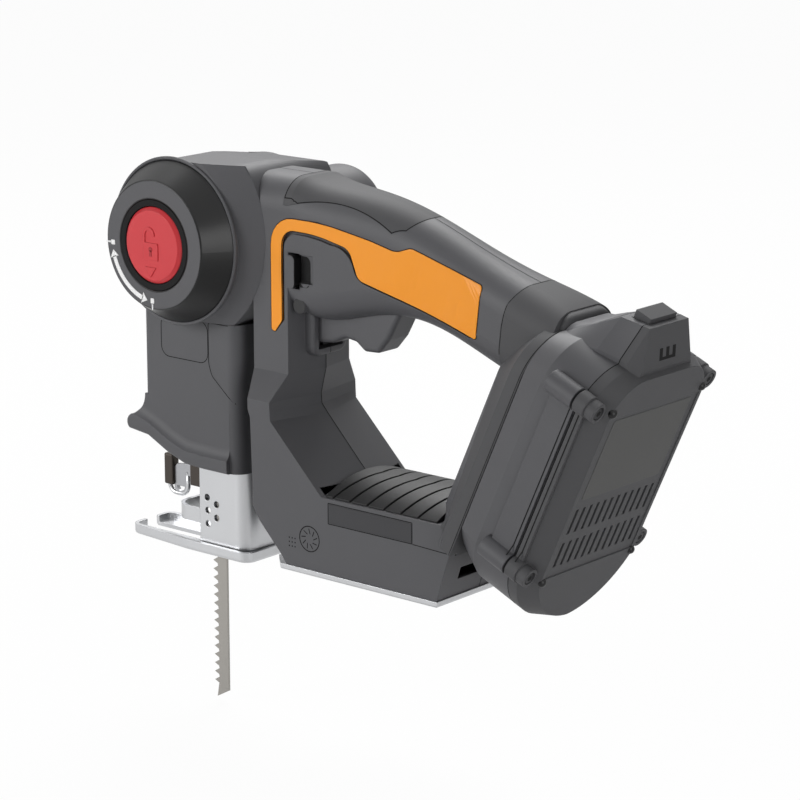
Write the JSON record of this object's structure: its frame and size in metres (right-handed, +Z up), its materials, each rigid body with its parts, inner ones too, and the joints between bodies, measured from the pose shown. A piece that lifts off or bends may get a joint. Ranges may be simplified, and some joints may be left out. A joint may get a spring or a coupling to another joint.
{
  "type": "jigsaw power tool",
  "caption": "Cordless hand saw with a turning head: it cuts as a jigsaw with the blade down and as a reciprocating saw with the blade forward.",
  "frame": {"origin": "on the blade's line at the level of the shoe's sole", "axes": "+X rearward from the blade to the battery, +Y to the tool's right, +Z up along the blade"},
  "size_m": [0.2965, 0.0986, 0.26],
  "materials": {
    "charcoal_abs": "fine spark texture, charcoal",
    "black_rubber": "soft overmould, near black",
    "orange_abs": "satin orange inlay",
    "red_abs": "satin red button",
    "satin_steel": "bead blasted and nickel plated sheet",
    "blade_steel": "ground and milled blade steel",
    "cast_aluminium": "die cast, as cast",
    "turned_steel": "turned and ground",
    "zinc_screw": "zinc plated",
    "spring_wire": "spring wire",
    "copper_bars": "turned copper bars",
    "sintered_bronze": "oil filled sintered bronze",
    "circuit_board": "solder mask",
    "cell_wrap": "shrink wrap"
  },
  "bodies": {
    "housing": {"housing_left": "charcoal_abs", "housing_right": "charcoal_abs", "dock_overmould": "black_rubber", "gear_housing": "charcoal_abs", "motor_cap": "charcoal_abs", "soft_grip": "black_rubber", "inlay_left": "orange_abs", "inlay_right": "orange_abs", "rear_pad": "black_rubber", "base_plate": "satin_steel", "housing_screws": "zinc_screw", "motor_can": "turned_steel", "motor_bearing_front": "turned_steel", "motor_bearing_rear": "turned_steel", "crank_bearing": "sintered_bronze", "switch_module": "charcoal_abs", "control_board": "circuit_board", "dock_rail": "charcoal_abs", "dock_contacts": "copper_bars", "trigger_spring": "spring_wire", "trigger_pin": "turned_steel"},
    "head": {"head_left_shell": "charcoal_abs", "head_right_shell": "charcoal_abs", "pivot_cap": "charcoal_abs", "plunger_guides": "cast_aluminium", "plunger_bushes": "sintered_bronze", "shoe_bracket": "satin_steel", "shoe": "satin_steel", "finger_guard": "satin_steel", "lock_spring": "spring_wire"},
    "axis_lock": {"axis_lock_button": "red_abs", "lock_plate": "turned_steel"},
    "plunger": {"plunger_rod": "turned_steel", "yoke": "turned_steel", "blade_clamp": "turned_steel", "saw_blade": "blade_steel"},
    "blade_release": {"release_lever": "turned_steel"},
    "armature": {"armature": "turned_steel", "motor_shaft": "turned_steel", "commutator": "copper_bars", "pinion": "turned_steel"},
    "crank": {"crank_gear": "turned_steel", "crank_shaft": "turned_steel"},
    "trigger": {"trigger": "charcoal_abs"},
    "lock_off": {"lock_off_button": "charcoal_abs"},
    "battery": {"pack_front_case": "charcoal_abs", "pack_rear_case": "black_rubber", "pack_screws": "zinc_screw", "battery_cells": "cell_wrap", "latch_spring": "spring_wire"},
    "battery_latch": {"pack_latch": "black_rubber"}
  },
  "joints": [
    {"name": "head_turn", "type": "hinge", "parent": "housing", "child": "head", "pos_m": [0, 0, 0.148], "axis": [0, 1, 0], "range_deg": [0, 90]},
    {"name": "axis_lock_push", "type": "slide", "parent": "head", "child": "axis_lock", "axis": [0, 1, 0], "range_m": [0, 0.004], "stiffness_N_per_m": 800, "deforming": ["lock_spring"]},
    {"name": "plunger_stroke", "type": "slide", "parent": "head", "child": "plunger", "axis": [0, 0, 1], "range_m": [-0.0095, 0.0095]},
    {"name": "blade_release_turn", "type": "hinge", "parent": "plunger", "child": "blade_release", "pos_m": [0, 0, 0.053], "axis": [0, 0, -1], "range_deg": [0, 60], "stiffness_Nm_per_rad": 0.05},
    {"name": "crank_spin", "type": "hinge", "parent": "housing", "child": "crank", "pos_m": [0, 0.0266, 0.148], "axis": [0, 1, 0], "continuous": true},
    {"name": "motor_spin", "type": "hinge", "parent": "housing", "child": "armature", "pos_m": [0.0331, 0.04, 0.15316], "axis": [0, 1, 0], "continuous": true},
    {"name": "trigger_pull", "type": "hinge", "parent": "housing", "child": "trigger", "pos_m": [0.066, 0, 0.126], "axis": [0, -1, 0], "range_deg": [0, 6], "stiffness_Nm_per_rad": 1.2, "deforming": ["trigger_spring"]},
    {"name": "lock_off_push", "type": "slide", "parent": "housing", "child": "lock_off", "axis": [0, 1, 0], "range_m": [0, 0.003], "stiffness_N_per_m": 500},
    {"name": "battery_slide", "type": "slide", "parent": "housing", "child": "battery", "axis": [0.4067, 0, 0.9135], "range_m": [0, 0.08]},
    {"name": "battery_latch_push", "type": "slide", "parent": "battery", "child": "battery_latch", "axis": [-0.4067, 0, -0.9135], "range_m": [0, 0.0025], "stiffness_N_per_m": 600, "deforming": ["latch_spring"]}
  ],
  "couplings": [
    {"joint": "motor_spin", "follows": "crank_spin", "ratio": -4.5833}
  ]
}
